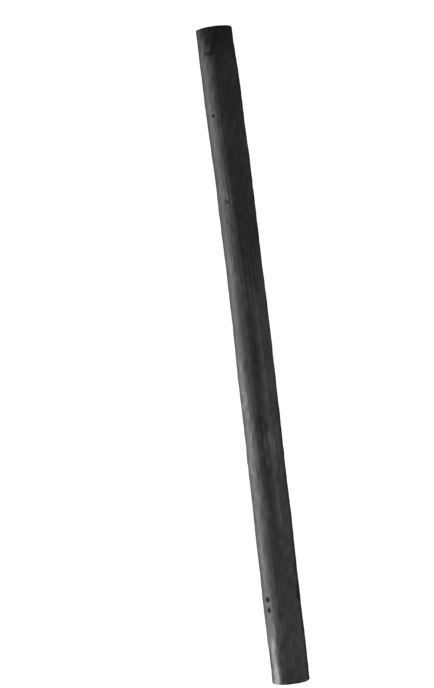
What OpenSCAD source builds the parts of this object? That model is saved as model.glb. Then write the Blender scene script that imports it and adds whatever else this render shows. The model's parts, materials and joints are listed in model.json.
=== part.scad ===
// A willow charcoal stick: a peeled, charred willow rod, sawn square to length.
// It lies along X on a table at z = 0, and bends gently within the table's plane.
// The drawing end is at +X and the holder end at -X. Stations are measured along
// the centreline from the drawing end. Azimuths run round the centreline from the
// top (+Z) towards +Y. Lengths are in millimetres and angles in degrees.

/* [Stick] */
// Length of the centreline from end face to end face
stick_length = 150; // [130:1:160]
// Diameter over the skin
stick_diameter = 8.5; // [7:0.1:9]
// Width of the worn bevel round each sawn end
rim_bevel = 0.4; // [0.3:0.05:0.6]
// Width of the narrow flat underneath, which the rod lies on
flat_width = 1.2; // [0.8:0.1:1.6]

/* [Bend] */
// Angle that the rod turns through, half of it at each end of the bend
bend_angle = 1.1; // [1.1:0.1:3]
// Distance between the bend's two half turns
bend_length = 26; // [20:1:30]
// Straight length between the bend and the holder end
holder_run = 32; // [25:1:35]

/* [Layers] */
// Thickness of the hard charred skin
skin_thickness = 0.25; // [0.2:0.05:0.35]
// Radius where the second year's wood grew over the first year's
first_year_radius = 2.5; // [1.8:0.1:3]
// Radius of the pith channel
pith_radius = 0.8; // [0.5:0.1:1.2]
// How far the pith has shrunk back from each end face
pith_shrinkage = 0.8; // [0.4:0.1:2]

/* [Knots] */
// How many buds left a knot in this length of rod
knot_count = 5; // [1:1:5]
// Station of the first knot
first_knot_station = 18.5; // [15:0.5:20]
// Distance from one knot to the next
knot_pitch = 30.7; // [28:0.1:31]
// Azimuth of the first knot
first_knot_azimuth = -49; // [-180:1:180]
// Turn from one knot to the next
knot_turn = 127; // [90:1:150]
// Angle by which a knot leans from square towards the drawing end
knot_lean = 35; // [20:1:40]
// Radius of a knot where it leaves the pith
knot_root_radius = 0.3; // [0.2:0.05:0.4]
// Radius of a knot at the skin
knot_face_radius = 0.85; // [0.6:0.05:1]

/* [Flute] */
// Station of the middle of the long flute on top
flute_station = 49; // [40:1:55]
// Length of the flute
flute_length = 70; // [20:1:70]
// Radius of the flute's round bottom
flute_radius = 1.6; // [1:0.1:3]
// Depth of the flute at its middle
flute_depth = 0.14; // [0.05:0.01:0.18]

/* [Marks] */
// Radius of the pits that leaf traces leave in the skin
pit_radius = 0.42; // [0.3:0.02:0.5]
// Number of drying checks in each end's grain
check_count = 5; // [3:1:8]
// Width of a check
check_width = 0.1; // [0.05:0.01:0.2]
// How far a check runs into the stick
check_depth = 2.5; // [1:0.5:5]

/* [Hidden] */
$fn = 96;
KNOTS = [for (i = [1:knot_count]) str("bud_knot_", i)];

stick_radius = stick_diameter / 2;
wood_radius = stick_radius - skin_thickness;
axis_height = sqrt(pow(stick_radius, 2) - pow(flat_width / 2, 2));
half_turn = bend_angle / 2;
// The three straight runs of the centreline, from the drawing end
RUNS = [stick_length - bend_length - holder_run, bend_length, holder_run];
// The box that the bent rod fills, along X and across it
face_radius = stick_radius - rim_bevel;
overall_length = RUNS[0] + RUNS[1] * cos(half_turn) + RUNS[2] * cos(bend_angle)
    + face_radius * sin(bend_angle);
overall_width = stick_radius + RUNS[1] * sin(half_turn)
    + (RUNS[2] - rim_bevel) * sin(bend_angle) + stick_radius * cos(bend_angle);
// Pits, each [station, azimuth]: a leaf's three traces, then a single one
PITS = [[17.4, -49], [19.6, -49], [16.2, -16], [130, -38]];
check_reach = wood_radius - 1;
over = 1; // how far a cutting shape runs past what it cuts

SKIN = "#3a383a";
SECOND_YEAR = "#2b292a";
FIRST_YEAR = "#242223";
PITH = "#3d322c";
KNOT = "#1d1b1c";

// Puts children at the start of one straight run, which goes away along their -X.
// The bent rod's box is centred on the origin and stands on the table.
module in_run(i) {
    if (i == 0)
        translate([overall_length / 2, overall_width / 2 - stick_radius, axis_height]) children();
    else
        in_run(i - 1) translate([-RUNS[i - 1], 0, 0]) rotate([0, 0, half_turn]) children();
}

// Puts children on the centreline at a station, with their +Z turned to an azimuth.
module at_station(station, azimuth = 0) {
    i = station > RUNS[0] + RUNS[1] ? 2 : station > RUNS[0] ? 1 : 0;
    start = i == 2 ? RUNS[0] + RUNS[1] : i == 1 ? RUNS[0] : 0;
    in_run(i) translate([start - station, 0, 0]) rotate([-azimuth, 0, 0]) children();
}

// The space above the table and on the -X side of a plane through the axis, mitred by an angle.
module behind(angle) {
    rotate([0, 0, angle]) translate([-stick_length, -stick_diameter, -axis_height])
        cube([stick_length, 2 * stick_diameter, 2 * stick_diameter]);
}

// One straight run at one radius, mitred to its neighbours.
module run(i, radius, ends) {
    front = i == 0 ? ends : 0;
    back = i == 2 ? ends : 0;
    in_run(i) intersection() {
        translate([front + over, 0, 0]) rotate([0, -90, 0])
            cylinder(h = RUNS[i] + front + back + 2 * over, r = radius);
        translate([front, 0, 0]) behind(i == 0 ? 0 : -half_turn / 2);
        translate([-RUNS[i] - back, 0, 0]) rotate([0, 0, 180]) behind(i == 2 ? 0 : half_turn / 2);
    }
}

// The bent rod at one radius. Positive ends make it longer and negative ones shorter.
module rod(radius, ends = 0) {
    for (i = [0:2]) run(i, radius, ends);
}

// A straight stretch of the rod, long enough for the knot at a station.
module local_rod(station, radius) {
    at_station(station) translate([-stick_diameter, 0, 0]) rotate([0, 90, 0])
        cylinder(h = 2 * stick_diameter, r = radius);
}

// Cuts a sawn end's worn bevel. The end face is at z = 0 and looks along +Z.
module bevel_cut() {
    rotate_extrude() polygon([
        [stick_radius + over, -rim_bevel - over],
        [stick_radius - rim_bevel - over, over],
        [stick_radius + over, over]
    ]);
}

module bevel_cuts() {
    at_station(0) rotate([0, 90, 0]) bevel_cut();
    at_station(stick_length) rotate([0, -90, 0]) bevel_cut();
}

// The tapered space of one knot, from the centreline out past the skin.
module knot_space(index) {
    cone_height = stick_radius / cos(knot_lean);
    growth = (knot_face_radius - knot_root_radius) / cone_height;
    at_station(first_knot_station + (index - 1) * knot_pitch,
               first_knot_azimuth + (index - 1) * knot_turn)
        translate([-stick_radius * tan(knot_lean), 0, 0])
        rotate([0, knot_lean, 0])
        cylinder(h = cone_height + over, r1 = knot_root_radius,
                 r2 = knot_face_radius + growth * over);
}

module knot_spaces() {
    for (i = [1:knot_count]) knot_space(i);
}

// A long spindle that cuts a shallow groove, deepest at its middle and fading out at its ends.
module flute_cut() {
    sweep_radius = flute_length * flute_length / (8 * flute_depth);
    at_station(flute_station)
        translate([0, 0, stick_radius + flute_radius - flute_depth])
        rotate([0, 90, 0])
        rotate_extrude() intersection() {
            translate([flute_radius - sweep_radius, 0]) circle(r = sweep_radius);
            translate([0, -flute_length / 2 - over])
                square([flute_radius + over, flute_length + 2 * over]);
        }
}

module pit_cuts() {
    for (p = PITS)
        at_station(p[0], p[1]) translate([0, 0, stick_radius]) sphere(r = pit_radius);
}

// Thin radial cracks in both ends, evenly fanned from the pith.
module check_cuts() {
    for (end = [0, 1], i = [0:check_count - 1])
        at_station(end * stick_length, (i + end / 2) * 360 / check_count)
            translate([-check_depth, -check_width / 2, 0])
            cube([2 * check_depth, check_width, check_reach]);
}

// The hard, faintly glossy rind that is left where the bark was peeled.
module outer_skin() {
    color(SKIN) difference() {
        rod(stick_radius);
        rod(wood_radius, over);
        bevel_cuts();
        flute_cut();
        pit_cuts();
        knot_spaces();
    }
}

module outer_growth_ring() {
    color(SECOND_YEAR) difference() {
        rod(wood_radius);
        rod(first_year_radius, over);
        bevel_cuts();
        pit_cuts();
        check_cuts();
        knot_spaces();
    }
}

module inner_growth_ring() {
    color(FIRST_YEAR) difference() {
        rod(first_year_radius);
        rod(pith_radius, over);
        check_cuts();
        knot_spaces();
    }
}

// The soft core, charred to a dull brown and sunk back from both ends.
module pith_core() {
    color(PITH) rod(pith_radius, -pith_shrinkage);
}

// A bud's knot, which grew out from the pith and ends flush with the skin.
module bud_knot(index) {
    station = first_knot_station + (index - 1) * knot_pitch;
    color(KNOT) difference() {
        intersection() {
            knot_space(index);
            local_rod(station, stick_radius);
        }
        local_rod(station, pith_radius);
        pit_cuts();
    }
}

outer_skin();
outer_growth_ring();
inner_growth_ring();
pith_core();
for (i = [1:knot_count])
    bud_knot(i);
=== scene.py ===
"""A willow charcoal stick lying on a pale floor, seen from straight above.

Each body of the CAD frame is replaced by a mesh with the surface of real charred willow:
the skin with its flute, fibres, pits and worn facet, with painted shade and highlights in
its tone, the two growth rings and the sunken pith that show in the sawn ends, and the five
bud knots.

The surfaces are written in stick coordinates, in millimetres: a station s along the
centreline from the drawing end, an azimuth az round it from the top (+Z) towards +Y, and a
radius r. A width round the stick is in millimetres along its skin. An end is 0 for the
drawing end and 1 for the holder end.
"""

import json
import math

import bpy
import numpy as np
from mathutils import Matrix, Vector


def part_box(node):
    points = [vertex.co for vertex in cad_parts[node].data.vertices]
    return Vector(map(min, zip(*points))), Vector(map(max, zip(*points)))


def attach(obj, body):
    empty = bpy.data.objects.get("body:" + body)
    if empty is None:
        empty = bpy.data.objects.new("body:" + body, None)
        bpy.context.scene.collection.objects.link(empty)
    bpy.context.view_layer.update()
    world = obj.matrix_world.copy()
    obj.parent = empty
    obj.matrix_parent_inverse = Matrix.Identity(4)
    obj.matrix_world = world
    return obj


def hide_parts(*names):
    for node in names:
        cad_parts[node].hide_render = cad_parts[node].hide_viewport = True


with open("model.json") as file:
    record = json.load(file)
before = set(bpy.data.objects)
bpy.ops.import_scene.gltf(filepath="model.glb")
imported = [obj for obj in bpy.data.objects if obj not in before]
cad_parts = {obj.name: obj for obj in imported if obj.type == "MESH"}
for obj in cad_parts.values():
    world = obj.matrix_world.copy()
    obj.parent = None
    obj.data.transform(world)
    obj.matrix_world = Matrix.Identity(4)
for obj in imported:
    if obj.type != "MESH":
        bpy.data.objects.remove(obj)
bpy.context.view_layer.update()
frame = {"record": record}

MM = 0.001
RNG = np.random.RandomState(7)

# ---------------------------------------------------------------- the frame's own numbers

mounts = {m["name"]: m for m in frame["record"]["mounts"]}
R = mounts["holder_barrel"]["dims"]["r_mm"]
AXIS_Z = mounts["holder_barrel"]["pos_m"][2] / MM
DRAW = np.array(mounts["drawing_end"]["pos_m"][:2]) / MM
HOLD = np.array(mounts["holder_end"]["pos_m"][:2]) / MM
outward = mounts["holder_end"]["axis"]
BEND = math.atan2(-outward[1], -outward[0])  # how far the rod turns, radians

# The two straight runs meet at one corner, and the real rod rounds that corner off.
CORNER = (DRAW[1] - HOLD[1]) / math.sin(BEND)  # its distance from the holder end
ROUND_OFF = 26.0  # mm of each run that the round takes up
ARC_R = ROUND_OFF / math.tan(BEND / 2)
ARC_L = ARC_R * BEND
DRAW_RUN = DRAW[0] - (HOLD[0] + CORNER * math.cos(BEND)) - ROUND_OFF
LENGTH = DRAW_RUN + ARC_L + CORNER - ROUND_OFF

SKIN_THICKNESS = 0.25
WOOD_R = R - SKIN_THICKNESS
RING_R = 2.5  # between the two years' wood
PITH_R = 0.8
PITH_SUNK = 0.8  # how far the pith has shrunk back from each end
SAW_INSET = 0.06  # how far in from the true ends the sawn faces lie

KNOT_R = 0.85  # where it meets the skin
KNOT_ROOT_R = 0.3  # where it leaves the pith
KNOT_LEAN = math.radians(35)  # its outer end leans towards the drawing end
KNOT_START, KNOT_GAP = 18.5, 30.7  # the first one's station, and from each to the next
KNOT_AZ, KNOT_TURN = -49, 127  # the same round the stick, in degrees
KNOTS = [(KNOT_START + KNOT_GAP * i, math.radians(KNOT_AZ + KNOT_TURN * i)) for i in range(5)]
SCARRED = 3  # the knot, counted from 0, that a flake of skin still covers


def centre(s):
    """The centreline's x and y at station s, and its heading."""
    turn = np.clip(s - DRAW_RUN, 0, ARC_L) / ARC_R
    x = DRAW[0] - np.minimum(s, DRAW_RUN) - ARC_R * np.sin(turn)
    y = DRAW[1] - ARC_R * (1 - np.cos(turn))
    rest = np.maximum(s - DRAW_RUN - ARC_L, 0)
    return x - rest * np.cos(turn), y - rest * np.sin(turn), turn


def place(s, az, r):
    """Stick coordinates to millimetres in the frame."""
    x, y, turn = centre(s)
    side = r * np.sin(az)
    up = r * np.cos(az)
    return np.stack([x - side * np.sin(turn), y + side * np.cos(turn), AXIS_Z + up], -1)


KNOT_TOLERANCE = 0.3
for i, (station, azimuth) in enumerate(KNOTS, 1):
    lo, hi = (np.array(v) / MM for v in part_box(f"bud_knot_{i}"))
    face = place(np.array(station), np.array(azimuth), np.array(R))
    if not ((face > lo - KNOT_TOLERANCE) & (face < hi + KNOT_TOLERANCE)).all():
        raise SystemExit("a knot isn't where the frame has it")

# ---------------------------------------------------------------- noise and shapes


def waves(count, along, round_, power=1.0):
    """A smooth random field over station and azimuth that closes round the stick.

    Its root mean square is about 1. along is the range of wavelengths along the stick in mm,
    and round_ the range of whole waves round it.
    """
    terms = []
    for _ in range(count):
        length = math.exp(RNG.uniform(math.log(along[0]), math.log(along[1])))
        m = RNG.randint(round_[0], round_[1] + 1)
        size = (1.0 + m / round_[1]) ** -power
        k = 2 * math.pi / length * RNG.choice([-1, 1])
        terms.append((k, m, RNG.uniform(0, 2 * math.pi), size))
    norm = math.sqrt(sum(t[3] ** 2 for t in terms) / 2)

    def field(s, az):
        out = np.zeros(np.broadcast(s, az).shape)
        for k, m, phase, size in terms:
            out += size * np.cos(k * s + m * az + phase)
        return out / norm

    return field


def wrap(a):
    """An angle brought to between -pi and pi."""
    return (a + math.pi) % (2 * math.pi) - math.pi


def step(a, b, x):
    """A smooth step from 0 at a to 1 at b."""
    t = np.clip((x - a) / (b - a), 0, 1)
    return t * t * (3 - 2 * t)


def spot(s, az, s0, az_deg, ls, la):
    """A round or oval bump of height 1: half-lengths ls along and la round, in mm."""
    u = (s - s0) / ls
    v = wrap(az - math.radians(az_deg)) * R / la
    return np.exp(-((u * u + v * v) ** 1.5))


def streak(s, az, s0, s1, az0, az1, width, fade=6.0):
    """A long soft stripe of height 1 between two stations, drifting from az0 to az1 degrees."""
    t = np.clip((s - s0) / (s1 - s0), 0, 1)
    mid = np.radians(az0 + (az1 - az0) * t)
    v = wrap(az - mid) * R / width
    starts = step(s0 - fade / 2, s0 + fade / 2, s)
    stops = step(s1 - fade / 2, s1 + fade / 2, s)
    return starts * (1 - stops) * np.exp(-v * v)


lumps = waves(26, (9, 40), (1, 4))
dents = waves(34, (2.5, 9), (3, 14))
fibres = waves(60, (25, 120), (22, 58), 0.6)
fine_fibres = waves(50, (6, 30), (40, 80), 0.3)
flecks = waves(50, (1.2, 5), (10, 34))
rim_noise = waves(22, (40, 90), (2, 16))
chip_noise = waves(24, (40, 90), (10, 34))
face_noise = waves(40, (0.8, 3.0), (3, 30))
ray_noise = waves(46, (30, 60), (24, 88), 0.2)

# ---------------------------------------------------------------- the skin's relief

# Station and radius. The stick swells and narrows a little between them.
GIRTH = [
    (0, 4.27), (30, 4.34), (52, 4.28), (72, 4.27),
    (100, 4.18), (114, 4.22), (136, 4.28), (150, 4.12),
]

# Low swellings (+) and shallow flutes (-): height, first and last station, the azimuth in
# degrees at each, half-width, and how long the ends take to fade.
SWELLINGS = [
    (0.18, 58, 120, 4, -7, 1.3, 22),  # the deep flute runs out into this and the next
    (0.07, 97, 110, -3, -3, 1.2, 14),
    (-0.10, 92, 146, 128, 142, 0.8, 20),
    (-0.12, 24, 104, -118, -104, 0.9, 24),
    (-0.07, 6, 58, 96, 84, 0.6, 16),
    (-0.05, 70, 149, 22, 30, 0.5, 20),
]
FLUTE_DEPTH, FLUTE_WIDTH = 0.28, 0.74  # the deep flute on top
RIDGE_HEIGHT, RIDGE_AZ, RIDGE_WIDTH = 0.16, 0.37, 0.50  # beside it, its azimuth in radians
FACET_R, FACET_AZ = 0.962 * R, math.radians(-53)  # worn at the drawing end
LOOSE_STRIP = (96, 150, -28, -20, 0.5, 14)  # of skin, which stands a hair over the fibres
LOOSE_HEIGHT = 0.02

# Station, azimuth in degrees, half-lengths along and round, and how sooty each pit is.
PITS = [
    (17.0, -48, 0.66, 0.56, 0.9),
    (19.5, -49, 0.62, 0.68, 1.0),
    (129.9, -39, 0.38, 0.58, 0.6),
]
PIT_DEPTH = 0.16
NICK_S, NICK_DEPTH = 143.85, 0.06  # a small transverse nick near the holder end
SCAR_S, SCAR_V = 0.35, 0.25  # the flake lies this far along and round from its knot


def knot_reach(s, az, i):
    """How far out from knot i's middle a point is, 1 at its edge."""
    s0, az0 = KNOTS[i]
    return np.hypot((s - s0) * math.cos(KNOT_LEAN) / KNOT_R, wrap(az - az0) * R / KNOT_R)


def flute_azimuth(s):
    """The deep flute's middle, which wanders as the grain does."""
    return np.radians(-1.5 - 4.5 * np.cos((s - 54) / 6.4))


def plain_radius(s, az):
    """The skin's radius, without its pits and without the seats of the knots."""
    x, radius = np.array(GIRTH, float).T
    i = np.clip(np.searchsorted(x, s) - 1, 0, len(x) - 2)
    t = (s - x[i]) / (x[i + 1] - x[i])
    out = radius[i] + (radius[i + 1] - radius[i]) * step(0, 1, t)
    out = out + 0.030 * lumps(s, az) + 0.016 * dents(s, az)
    out = out + 0.011 * fibres(s, az) + 0.006 * fine_fibres(s, az)
    deep = step(10, 34, s) * (1 - step(78, 92, s)) * (0.45 + 0.55 * np.exp(-(((s - 66) / 18) ** 4)))
    groove = wrap(az - flute_azimuth(s)) * R / FLUTE_WIDTH
    ridge = wrap(az - RIDGE_AZ) * R / RIDGE_WIDTH
    out = out - FLUTE_DEPTH * deep * np.exp(-(groove**2)) + RIDGE_HEIGHT * deep * np.exp(-(ridge**2))
    for height, *stripe in SWELLINGS:
        out = out + height * streak(s, az, *stripe)
    facet = FACET_R / np.maximum(np.cos(wrap(az - FACET_AZ)), 0.3)
    out = out + (np.minimum(out, facet) - out) * (1 - step(9, 18, s))
    return out + LOOSE_HEIGHT * streak(s, az, *LOOSE_STRIP)


def pits(s, az):
    """How deep the pits and the nick are."""
    out = 0.0
    for s0, az0, ls, la, _ in PITS:
        out = out + PIT_DEPTH * spot(s, az, s0, az0, ls, la)
    return out + NICK_DEPTH * spot(s, az, NICK_S, -23, 0.45, 1.2)


def scar(s, az):
    """The flake of skin that still stands over the scarred knot, and the crack under it."""
    s0, az0 = KNOTS[SCARRED]
    u = s - s0 - SCAR_S
    v = wrap(az - az0) * R - SCAR_V
    flake = 0.08 * np.exp(-((((u - 0.20) / 1.10) ** 2 + ((v + 0.15 * u) / 0.72) ** 2) ** 1.1))
    bow = u + 0.95 - 0.45 * v * v
    crack = 0.13 * np.exp(-((bow / 0.40) ** 2) - ((v - 0.15) / 0.66) ** 4)
    return flake - crack


def skin_radius(s, az):
    """The whole relief of the skin. It dips to the wood inside each knot, which fills the dip."""
    out = plain_radius(s, az) - pits(s, az) + scar(s, az)
    for i in range(5):
        f = knot_reach(s, az, i)
        collar = 0.025 * np.exp(-(((f - 1.5) / 0.45) ** 2))
        out = out + collar - SKIN_THICKNESS * (1 - step(0.58, 0.84, f))
    return out


# ---------------------------------------------------------------- the sawn ends


def rim_width(az, end):
    """How far wear has rounded the rim, round the stick."""
    wear = 0.24 + 0.06 * end + 0.07 * rim_noise(20.0 + 90 * end, az)
    chips = 0.16 * np.maximum(chip_noise(10.0 + 120 * end, az) - 1.1, 0)
    # one corner of the drawing end has been used
    used = 0.08 * np.exp(-((wrap(az - math.radians(-80)) / 0.40) ** 2)) * (end == 0)
    return np.clip(wear + chips + used, 0.16, 0.80)


def check_depth(az, r, end):
    """The drying checks: five thin radial cracks in each end."""
    out = np.zeros(np.broadcast(az, r).shape)
    for i in range(5):
        mid = math.radians((i + end / 2) * 72) + 0.05 * math.sin(5 * i + 3 * end)
        mid = mid + 0.05 * np.sin(2.1 * r + i)
        reach = 2.6 + 0.7 * math.sin(2.3 * i + 1.7 * end)
        v = np.abs(wrap(az - mid)) * r
        depth = 1.1 * np.clip(1 - v / 0.085, 0, 1) * (1 - step(0.6 * reach, reach, r))
        out = np.maximum(out, depth)
    return out


def end_inset(az, r, end):
    """How far in from the true end plane a point of the end face lies."""
    rim = rim_width(az, end)
    edge = plain_radius(np.where(end, LENGTH - rim, rim), az)
    out = np.clip((r - (edge - rim)) / rim, 0, 1)
    out = rim * (1 - np.sqrt(1 - out * out))
    y, z = r * np.sin(az), r * np.cos(az)
    stroke = z * 0.8 + y * 0.6
    saw = 0.018 * np.sin(11.0 * stroke + 1.5 * np.sin(1.1 * y)) + 0.012 * np.sin(23.0 * stroke + 2)
    # the early wood of each year, inside its late wood, has worn lower
    second = (r - RING_R) / (WOOD_R - RING_R)
    year = np.where(r > RING_R, second, (r - PITH_R) / (RING_R - PITH_R))
    year = 0.05 * (1 - step(0.0, 0.75, year)) + 0.03 * np.clip(1 - np.abs(r - RING_R) / 0.12, 0, 1)
    rays = 0.012 * ray_noise(40.0 * end + r * 2, az) * (r / R)
    grain = rays + 0.012 * face_noise(r + 60.0 * end, az)
    flat = step(0, 0.4, edge - rim - r)  # 1 on the plain part of the face, 0 at its rim
    out = out + SAW_INSET + flat * (year + saw) + grain * (0.4 + 0.6 * flat)
    return out + check_depth(az, r, end)


# ---------------------------------------------------------------- mesh building


def make_object(name, points, faces, grain, tone):
    """A mesh object from points in mm, smooth but for its true edges.

    grain and tone are attributes that the materials read: each point's place in the wood, with
    the fibres along its third axis, and how light its char is, painted shade and highlights
    included.
    """
    mesh = bpy.data.meshes.new(name)
    mesh.from_pydata((points * MM).tolist(), [], faces)
    attribute = mesh.attributes.new("grain", "FLOAT_VECTOR", "POINT")
    attribute.data.foreach_set("vector", grain.astype(np.float32).ravel())
    attribute = mesh.attributes.new("tone", "FLOAT", "POINT")
    attribute.data.foreach_set("value", tone.astype(np.float32).ravel())
    mesh.shade_smooth()
    mesh.set_sharp_from_angle(angle=math.radians(48))
    mesh.update()
    obj = bpy.data.objects.new(name, mesh)
    bpy.context.scene.collection.objects.link(obj)
    return obj


def grain_place(s, az, r):
    """The grain attribute in stick coordinates."""
    return np.stack([r * np.cos(az), r * np.sin(az), s], -1).reshape(-1, 3)


def inside_out(points, quads):
    """Whether the signed volume that the quads enclose is negative."""
    p = points[np.array(quads)]
    halves = np.cross(p[:, 1], p[:, 2]) + np.cross(p[:, 2], p[:, 3])
    return np.einsum("ij,ij->i", p[:, 0], halves).sum() < 0


def capped_faces(rows, columns):
    """The quads between the rows of a tube, then a flat cap at each end of it."""
    k = np.arange(rows * columns).reshape(rows, columns)
    lo, hi = k[:-1], k[1:]
    quads = np.stack([lo, np.roll(lo, -1, 1), np.roll(hi, -1, 1), hi], -1).reshape(-1, 4)
    return quads.tolist() + [k[0][::-1].tolist(), k[-1].tolist()]


def on_floor(points):
    """The points, with the stick's lowest side flattened where it lies on the floor."""
    points[:, 2] = np.maximum(points[:, 2], 0.0)
    return points


def ring_shell(name, s, az, r, tone):
    """A closed skin of rows by columns, joined end to end both ways. Arrays are [row, column]."""
    points = on_floor(place(s, az, r).reshape(-1, 3))
    k = np.arange(s.size).reshape(s.shape)
    a, b = k, np.roll(k, -1, 0)
    c, d = np.roll(b, -1, 1), np.roll(a, -1, 1)
    faces = np.stack([a, b, c, d], -1).reshape(-1, 4)
    if inside_out(points, faces):
        faces = faces[:, ::-1]
    return make_object(name, points, faces.tolist(), grain_place(s, az, r), tone)


def layer(name, wall, inner_r, columns, fractions, steps, tone, worn=False):
    """One layer of the rod: its outer wall, an end face, its inner wall and the other end face.

    wall gives the outer radius, fractions says where along the stick the outer wall has rows,
    and steps is how many rows an end face has. The rim of a worn layer is rounded over.
    """
    az = np.linspace(-math.pi, math.pi, columns, endpoint=False)
    bore = np.full_like(az, inner_r)

    def wall_inset(end):
        if worn:
            return rim_width(az, end) + SAW_INSET
        return end_inset(az, wall(np.zeros_like(az), az), end)

    def end_face(end, edge_s):
        outer_r = wall(edge_s, az)
        inwards = np.linspace(0, 1, steps + 2)[1:-1]
        rows = []
        for v in inwards if end else inwards[::-1]:
            share = np.cos(v * math.pi / 2) if worn else 1 - v
            r = inner_r + (outer_r - inner_r) * share
            inset = end_inset(az, r, end)
            rows.append((LENGTH - inset if end else inset, r))
        return rows

    s0, s1 = wall_inset(0), LENGTH - wall_inset(1)
    rows = [(s0 + (s1 - s0) * u, wall(s0 + (s1 - s0) * u, az)) for u in fractions]
    rows += end_face(1, s1)
    near, far = end_inset(az, bore, 0), LENGTH - end_inset(az, bore, 1)
    rows += [(near + (far - near) * u, bore) for u in np.linspace(1, 0, 14)]
    rows += end_face(0, s0)
    s, r = (np.array(part) for part in zip(*rows))
    grid = np.broadcast_to(az, s.shape)
    return ring_shell(name, s, grid, r, tone(s, grid, r))


def crowded_fractions(count, crowd):
    """Fractions along the stick, closer together at its ends and round the given stations."""
    fine = np.linspace(0, 1, 4001)
    density = 1 + 3.0 * np.exp(-fine * LENGTH / 2.0) + 3.0 * np.exp(-(1 - fine) * LENGTH / 2.0)
    for s0, width in crowd:
        density += 1.3 * np.exp(-(((fine * LENGTH - s0) / width) ** 4))
    total = np.concatenate([[0], np.cumsum((density[1:] + density[:-1]) / 2)])
    return np.interp(np.linspace(0, total[-1], count), total, fine)


# ---------------------------------------------------------------- tone of each place

# Stripes of the skin: change of tone, then a stripe as in SWELLINGS.
TONE_STRIPES = [
    (0.15, 34, 86, 21, 21, 0.55, 16),  # painted highlight where the ridge beside the flute catches the light
    (-0.17, 62, 97, -32, -28, 1.3, 16),  # painted shade that dims the lit flank round the middle
    (0.20, -20, 4, -46, -46, 0.8, 4),  # painted highlight at the tip of the worn facet
    (-0.16, -20, 13, -26, -24, 0.75, 9),  # painted shade beside the facet, narrowing its highlight
]
# Dark patches: change of tone, station, azimuth in degrees and half-lengths.
TONE_SPOTS = [
    # painted shade: the lit flank just short of the holder end, darkened
    (-0.14, 147.7, -25, 3.5, 1.8),
    (-0.30, 19.9, 62, 1.5, 0.8),
    (-0.18, 15.9, -12, 1.1, 0.6),
]
# painted shade down the shaded side of the drawing-end half
PAINTED_SHADE_SIDE = (-20, 66, 72, 68, 0.90, 20)
# a real worn facet at the drawing end, lightened as a painted highlight of its sheen
WORN_FACET_AND_SHEEN = (-20, 11, -58, -53, 1.05, 8)
# painted highlight: flecks of sheen down the lit flank
PAINTED_SHEEN_STRIP = (49, 72, -48, -50, 1.3, 12)
FAINT_PAINTED_RIMS = (0, 3)  # knots, counted from 0, whose painted rim shade and collar highlight are faint


def marks(s, az):
    """Soot in the pits and the nick, and the scar over its knot, with a painted highlight on its
    raised flake and painted shade in its crack. Skin and knots share it.
    """
    out = 0.0
    for s0, az0, ls, la, soot in PITS:
        out = out - 0.80 * soot * spot(s, az, s0, az0, ls, la)
        out = out + 0.08 * soot * spot(s, az, s0, az0, 2 * ls, 2 * la)
    out = out - 0.23 * spot(s, az, NICK_S, -24, 0.60, 1.35)
    # painted highlight on the raised flake and painted shade in the crack, following the scar's
    # height
    return out + np.clip(2.2 * scar(s, az), -0.26, 0.16)


def ground_tone(s, az):
    """The tone of the plain skin, with painted shade: darker towards the holder end and down its
    shaded side.
    """
    return 0.63 - 0.20 * step(66, 112, s) - 0.20 * streak(s, az, *PAINTED_SHADE_SIDE)


def skin_tone(s, az, _r):
    """How light the char is, with painted shade and highlights in it: 0.5 is ordinary, 0 is soot
    black and 1 is pale ash-grey.
    """
    out = ground_tone(s, az)
    out = out + 0.025 * lumps(s, az) + 0.025 * dents(s, az) + 0.03 * fibres(s, az)
    for change, *stripe in TONE_STRIPES:
        out = out + change * streak(s, az, *stripe)
    for change, *oval in TONE_SPOTS:
        out = out + change * spot(s, az, *oval)
    # painted shade in the deep flute
    v = wrap(az - flute_azimuth(s)) * R / 0.6
    out = out - 0.12 * step(26, 44, s) * (1 - step(76, 90, s)) * np.exp(-v * v)
    # painted shade over the last 10 mm at the holder end, deeper over its last millimetre
    out = out - 0.21 * step(LENGTH - 10.0, LENGTH - 1.5, s)
    out = out - 0.08 * step(LENGTH - 1.1, LENGTH - 0.4, s)
    # painted highlight: the real worn facet at the drawing end, and a strip down the lit flank, are
    # lightened to stand for their sheen
    patchy = 1 + 0.12 * dents(s, az) + 0.08 * flecks(s, az)
    out = out + 0.31 * patchy * streak(s, az, *WORN_FACET_AND_SHEEN)
    # painted highlight in flecks down the lit flank; the lighter tone also lowers their roughness
    painted_sheen = 0.07 * np.clip(flecks(s, az) - 0.3, 0, 1.5) + 0.06 * np.clip(dents(s, az), 0, 1.5)
    out = out + painted_sheen * streak(s, az, *PAINTED_SHEEN_STRIP)
    for i in range(5):
        # painted shade in a ring where each knot meets the skin, and a painted highlight on the
        # raised collar round it
        f = knot_reach(s, az, i)
        rim = 0.01 if i in FAINT_PAINTED_RIMS else 0.08
        out = out - rim * np.exp(-(((f - 1.0) / 0.2) ** 2))
        out = out + 0.7 * rim * np.exp(-(((f - 1.5) / 0.5) ** 2))
    return np.clip(out + marks(s, az), 0, 1)


def wood_tone(s, az, r):
    """The tone of the wood in the ends: its rays, the line between its years, and painted shade in
    its checks.
    """
    holder = s > LENGTH / 2
    cracks = np.where(holder, check_depth(az, r, 1), check_depth(az, r, 0))
    out = 0.42 + 0.05 * ray_noise(40.0 * holder + r * 2, az)
    out = out + 0.12 * np.exp(-(((r - RING_R) / 0.12) ** 2))
    # painted shade in the checks, darker where they are deeper
    return np.clip(out - 0.5 * np.clip(cracks, 0, 1), 0, 1)


# ---------------------------------------------------------------- the pieces

# Station and half-length of each stretch of skin with small detail: pits, the nick and knots.
KNOT_DETAIL = (3.0, 1.6, 1.6, 2.6, 1.6)
DETAILED = [(16.2, 1.5), (130.0, 1.6), (144.8, 1.6)]
DETAILED += [(s0, half) for (s0, _), half in zip(KNOTS, KNOT_DETAIL)]


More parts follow.
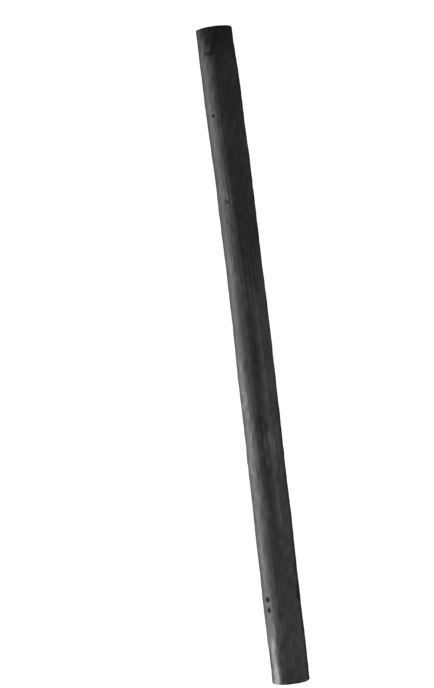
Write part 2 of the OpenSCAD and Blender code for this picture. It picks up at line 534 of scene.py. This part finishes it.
def flat_wall(radius):
    """The wall of a layer that is plainly round."""
    return lambda s, az: np.full(np.broadcast(s, az).shape, radius)


def make_wood(name, outer_r, inner_r):
    """One year's wood."""
    return layer(name, flat_wall(outer_r), inner_r, 360, np.linspace(0, 1, 16), 22, wood_tone)


def make_pith():
    """The pith: a thin spongy core, dished at both ends."""
    columns = 64
    az = np.linspace(-math.pi, math.pi, columns, endpoint=False)
    radii = np.linspace(0.06, PITH_R, 10)

    def dish(r, end):
        crumbs = 0.06 * face_noise(r * 2 + 70 * end, az) * (r / PITH_R)
        return PITH_SUNK + 0.45 * (1 - (r / PITH_R) ** 2) + crumbs

    rows = [(dish(r, 0), np.full(columns, r)) for r in radii]
    stations = np.linspace(3, LENGTH - 3, 30)
    rows += [(np.full(columns, s), np.full(columns, PITH_R)) for s in stations]
    rows += [(LENGTH - dish(r, 1), np.full(columns, r)) for r in radii[::-1]]
    s, r = (np.array(part) for part in zip(*rows))
    grid = np.broadcast_to(az, s.shape)
    points = place(s, grid, r).reshape(-1, 3)
    faces = capped_faces(len(rows), columns)
    return make_object("pith", points, faces, grain_place(s, grid, r), np.full(len(points), 0.5))


def make_knot(i):
    """A knot: a tapered plug from the pith, with the bud's rings in its face in the skin."""
    s0, az0 = KNOTS[i]
    columns, rings, walls = 72, 16, 12
    a = np.linspace(0, 2 * math.pi, columns, endpoint=False)
    rough = 1 + 0.03 * np.sin(3 * a + i) + 0.02 * np.sin(7 * a + 2 * i)
    face, face_tone = [], []
    for f in np.linspace(1, 0.04, rings):
        s = s0 + f * KNOT_R / math.cos(KNOT_LEAN) * np.cos(a) * rough
        az = az0 + f * KNOT_R * np.sin(a) * rough / R
        ring = np.cos(13.0 * f + 0.7 * np.sin(a + 1.7 * i) + 0.4 * np.sin(2 * a + i))
        dimple = 0.04 * math.exp(-((f / 0.22) ** 2))
        # its edge dips under the skin round it
        bud = 0.012 + 0.010 * ring * (1 - f * f) - dimple - 0.032 * f**8
        face.append(place(s, az, plain_radius(s, az) - pits(s, az) + scar(s, az) + bud))
        # painted shade at the face's edge, where it dips under the skin; the ground tone carries the
        # skin's painted shade too
        plain = ground_tone(s, az) + 0.05 * ring - 0.04 * f**10
        face_tone.append(np.clip(plain + marks(s, az), 0, 1))
    across = np.array([0.0, math.cos(az0), -math.sin(az0)])
    top = R - 0.05
    wall = []
    for t in np.linspace(0, 1, walls + 1)[1:]:
        depth = top + (PITH_R - top) * t
        width = KNOT_R + (KNOT_ROOT_R - KNOT_R) * t * (1 - PITH_R / R)
        s = s0 + math.tan(KNOT_LEAN) * (R - depth) + width / math.cos(KNOT_LEAN) * np.cos(a) * rough
        base = place(s, np.full_like(a, az0), np.full_like(a, depth))
        wall.append(base + (width * np.sin(a) * rough)[:, None] * across)
    points = on_floor(np.concatenate(wall[::-1] + face))
    tones = np.concatenate([np.full(columns * walls, 0.4)] + face_tone)
    faces = capped_faces(walls + rings, columns)
    if inside_out(points, faces[:-2]):
        faces = [q[::-1] for q in faces]
    return make_object(f"knot_{i + 1}", points, faces, points, tones)


fractions = crowded_fractions(500, DETAILED)
pieces = {
    "outer_skin": layer("skin", skin_radius, WOOD_R, 168, fractions, 7, skin_tone, worn=True),
    "outer_growth_ring": make_wood("outer_ring", WOOD_R, RING_R),
    "inner_growth_ring": make_wood("inner_ring", RING_R, PITH_R),
    "pith_core": make_pith(),
}
for i in range(5):
    pieces[f"bud_knot_{i + 1}"] = make_knot(i)

# ---------------------------------------------------------------- materials

FIBRE_RELIEF = 0.00006  # m
PORE_RELIEF = 0.00004


class Nodes:
    """A short way to write a material's nodes."""

    def __init__(self, name):
        self.material = bpy.data.materials.new(name)
        self.material.use_nodes = True
        self.tree = self.material.node_tree
        self.shader = self.tree.nodes["Principled BSDF"]

    def add(self, kind, inputs=None, **settings):
        node = self.tree.nodes.new(kind)
        for key, value in settings.items():
            setattr(node, key, value)
        for key, value in (inputs or {}).items():
            self.put(node.inputs[key], value)
        return node

    def put(self, socket, value):
        if isinstance(value, bpy.types.NodeSocket):
            self.tree.links.new(value, socket)
        else:
            socket.default_value = value

    def attribute(self, name, output):
        return self.add("ShaderNodeAttribute", attribute_name=name).outputs[output]

    def scaled(self, vector, scale):
        inputs = {0: vector, 1: scale}
        return self.add("ShaderNodeVectorMath", inputs, operation="MULTIPLY").outputs[0]

    def noise(self, vector, scale, detail, rough):
        inputs = {"Vector": vector, "Scale": scale, "Detail": detail, "Roughness": rough}
        return self.add("ShaderNodeTexNoise", inputs).outputs["Fac"]

    def math(self, operation, a, b=0.0, c=0.0):
        return self.add("ShaderNodeMath", {0: a, 1: b, 2: c}, operation=operation).outputs[0]

    def plus_noise(self, value, noise, size):
        """The value with a noise added whose middle is 0."""
        return self.math("MULTIPLY_ADD", self.math("SUBTRACT", noise, 0.5), size, value)

    def span(self, value, a, b, c, d):
        inputs = {"Value": value, "From Min": a, "From Max": b, "To Min": c, "To Max": d}
        return self.add("ShaderNodeMapRange", inputs).outputs["Result"]

    def ramp(self, value, stops):
        node = self.add("ShaderNodeValToRGB", {"Fac": value})
        while len(node.color_ramp.elements) < len(stops):
            node.color_ramp.elements.new(0.5)
        for element, (at, colour) in zip(node.color_ramp.elements, stops):
            element.position = at
            element.color = (*colour, 1)
        return node.outputs["Color"]

    def bump(self, height, strength, distance, normal=None):
        inputs = {"Height": height, "Strength": strength, "Distance": distance}
        if normal is not None:
            inputs["Normal"] = normal
        return self.add("ShaderNodeBump", inputs).outputs["Normal"]


def char(name, stops, rough, specular, fibre, pores):
    """Charred wood.

    stops are colours for tones, rough the roughness of pale and of dark char, and fibre and
    pores how strong the relief of each is. The fibres run along the third axis of the grain.
    """
    n = Nodes(name)
    grain = n.attribute("grain", "Vector")
    tone = n.attribute("tone", "Fac")
    along = n.scaled(grain, (1.0, 1.0, 0.045))
    strands = n.noise(along, 3.4, 4.0, 0.65)
    threads = n.noise(along, 9.0, 3.0, 0.6)
    cloud = n.noise(n.scaled(grain, (1.0, 1.0, 0.30)), 0.42, 4.0, 0.55)
    specks = n.noise(n.scaled(grain, (1.0, 1.0, 0.5)), 6.5, 2.0, 0.5)
    for noise, size in ((strands, 0.16), (threads, 0.12), (cloud, 0.17), (specks, 0.08)):
        tone = n.plus_noise(tone, noise, size)
    n.put(n.shader.inputs["Base Color"], n.ramp(tone, stops))
    gloss = n.plus_noise(n.span(tone, 0.1, 0.9, rough[1], rough[0]), threads, 0.30)
    soot = n.math("MAXIMUM", n.math("SUBTRACT", 0.36, tone), 0.0)
    n.put(n.shader.inputs["Roughness"], n.math("MULTIPLY_ADD", soot, 1.3, gloss))
    n.shader.inputs["Specular IOR Level"].default_value = specular
    normal = n.bump(n.math("MULTIPLY_ADD", threads, 0.5, strands), fibre, FIBRE_RELIEF)
    holes = n.noise(n.scaled(grain, (1.0, 1.0, 0.35)), 11.0, 2.0, 0.5)
    normal = n.bump(n.span(holes, 0.28, 0.40, 0.0, 1.0), pores, PORE_RELIEF, normal)
    n.put(n.shader.inputs["Normal"], normal)
    return n.material


SKIN = char(
    "charred_skin",
    [
        (0.05, (0.008, 0.0068, 0.0077)),
        (0.42, (0.028, 0.0240, 0.0272)),
        (0.61, (0.050, 0.0435, 0.0480)),
        (0.76, (0.075, 0.0670, 0.0710)),
        (0.95, (0.170, 0.154, 0.158)),
    ],
    rough=(0.44, 0.62), specular=0.18, fibre=0.38, pores=0.35,
)
WOOD = char(
    "charred_wood",
    [
        (0.05, (0.006, 0.0052, 0.0058)),
        (0.40, (0.020, 0.0174, 0.0192)),
        (0.90, (0.058, 0.051, 0.054)),
    ],
    rough=(0.64, 0.86), specular=0.15, fibre=0.3, pores=0.35,
)
CORE = char(
    "charred_first_year",
    [
        (0.05, (0.005, 0.0044, 0.0048)),
        (0.40, (0.016, 0.0139, 0.0153)),
        (0.90, (0.048, 0.042, 0.045)),
    ],
    rough=(0.64, 0.86), specular=0.15, fibre=0.3, pores=0.35,
)
PITH = char(
    "charred_pith",
    [
        (0.05, (0.006, 0.0045, 0.0035)),
        (0.50, (0.026, 0.019, 0.0145)),
        (0.95, (0.060, 0.046, 0.036)),
    ],
    rough=(0.75, 0.95), specular=0.15, fibre=0.4, pores=0.9,
)
KNOT = char(
    "charred_knot",
    [
        (0.05, (0.008, 0.0068, 0.0077)),
        (0.42, (0.027, 0.0232, 0.0260)),
        (0.61, (0.048, 0.0418, 0.0458)),
        (0.95, (0.110, 0.099, 0.102)),
    ],
    rough=(0.42, 0.62), specular=0.18, fibre=0.4, pores=0.4,
)

FINISH = {
    "outer_skin": (SKIN, "skin"),
    "outer_growth_ring": (WOOD, "second_year_wood"),
    "inner_growth_ring": (CORE, "first_year_wood"),
    "pith_core": (PITH, "pith"),
}
for node, piece in pieces.items():
    material, slot = FINISH.get(node, (KNOT, "knot"))
    piece.data.materials.append(material)
    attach(piece, "root")
    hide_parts(node)

# ---------------------------------------------------------------- floor, light and camera

FLOOR_HALF = 4.0  # m
BACKDROP_R = 0.9 * FLOOR_HALF
BACKDROP_Z = (-0.01, 3.5)
BACKDROP_SIDES = 64


def make_stage(name, points, faces, albedo):
    """A piece of pale paper that glows a little. It throws no light or shade on the stick."""
    mesh = bpy.data.meshes.new(name)
    mesh.from_pydata(points, [], faces)
    obj = bpy.data.objects.new(name, mesh)
    bpy.context.scene.collection.objects.link(obj)
    n = Nodes("pale_" + name)
    mottle = n.noise(n.add("ShaderNodeTexCoord").outputs["Object"], 3.0, 2.0, 0.4)
    shades = [(0.3, (albedo,) * 3), (0.7, (albedo + 0.02,) * 3)]
    n.put(n.shader.inputs["Base Color"], n.ramp(mottle, shades))
    n.shader.inputs["Roughness"].default_value = 0.9
    n.shader.inputs["Specular IOR Level"].default_value = 0.0
    n.shader.inputs["Emission Color"].default_value = (1.0, 1.0, 1.0, 1)
    n.shader.inputs["Emission Strength"].default_value = 0.95
    mesh.materials.append(n.material)
    obj.visible_diffuse = obj.visible_glossy = obj.visible_shadow = False


corners = [(x * FLOOR_HALF, y * FLOOR_HALF, 0) for x, y in ((-1, -1), (1, -1), (1, 1), (-1, 1))]
make_stage("floor", corners, [(0, 1, 2, 3)], 0.30)
angles = [k * 2 * math.pi / BACKDROP_SIDES for k in range(BACKDROP_SIDES)]
circle = [(BACKDROP_R * math.cos(a), BACKDROP_R * math.sin(a)) for a in angles]
sides = [(k, (k + 1) % BACKDROP_SIDES) for k in range(BACKDROP_SIDES)]
make_stage(
    "backdrop",
    [(x, y, z) for z in BACKDROP_Z for x, y in circle],
    [(a, b, BACKDROP_SIDES + b, BACKDROP_SIDES + a) for a, b in sides],
    0.10,
)


def area(name, where, size, watts, glossy=True):
    """A soft light at where, in metres, that looks at the stick's middle.

    It is a rectangle, and size is its length along the stick and its width.
    """
    data = bpy.data.lights.new(name, "AREA")
    data.shape = "RECTANGLE"
    data.size, data.size_y = size
    data.energy = watts
    data.color = (0.96, 1.0, 0.98)
    obj = bpy.data.objects.new(name, data)
    z = (Vector(where) - Vector((0.0, 0.0, 0.004))).normalized()
    x = Vector((1, 0, 0))
    x = (x - z * x.dot(z)).normalized()
    m = Matrix((x, z.cross(x), z)).transposed().to_4x4()
    m.translation = Vector(where)
    obj.matrix_world = m
    obj.visible_camera = False
    obj.visible_glossy = glossy
    bpy.context.scene.collection.objects.link(obj)


area("key", (-0.05, -0.50, -0.06), (0.50, 0.10), 5.5)
area("bounce", (0.0, 0.48, -0.18), (0.50, 0.20), 0.75, glossy=False)

world = bpy.data.worlds.new("studio")
world.use_nodes = True
world.node_tree.nodes["Background"].inputs["Color"].default_value = (1.0, 1.0, 1.0, 1)
world.node_tree.nodes["Background"].inputs["Strength"].default_value = 0.72
world.cycles_visibility.glossy = False
bpy.context.scene.world = world
bpy.context.scene.view_settings.view_transform = "Standard"

# The camera looks straight down. The stick leans a little in the picture, right of its middle.
PICTURE_LEAN = math.radians(6.76)
ROLL = PICTURE_LEAN - math.atan2(DRAW[1] - HOLD[1], DRAW[0] - HOLD[0])
FIELD = 156.9  # mm that the picture's height spans at the height of the stick's axis
DISTANCE = 430.0
SENSOR = 36.0
right = np.array([math.sin(ROLL), math.cos(ROLL)])
down = np.array([math.cos(ROLL), -math.sin(ROLL)])
aim = (DRAW + HOLD) / 2 - 8.07 * right - 2.5 * down

camera = bpy.data.cameras.new("camera")
camera.sensor_fit = "VERTICAL"
camera.sensor_height = SENSOR
camera.lens = SENSOR * DISTANCE / FIELD
camera.clip_start, camera.clip_end = 0.01, 20.0
eye = bpy.data.objects.new("camera", camera)
pose = Matrix(((right[0], -down[0], 0), (right[1], -down[1], 0), (0, 0, 1))).to_4x4()
pose.translation = Vector((aim[0] * MM, aim[1] * MM, (AXIS_Z + DISTANCE) * MM))
eye.matrix_world = pose
bpy.context.scene.collection.objects.link(eye)
bpy.context.scene.camera = eye
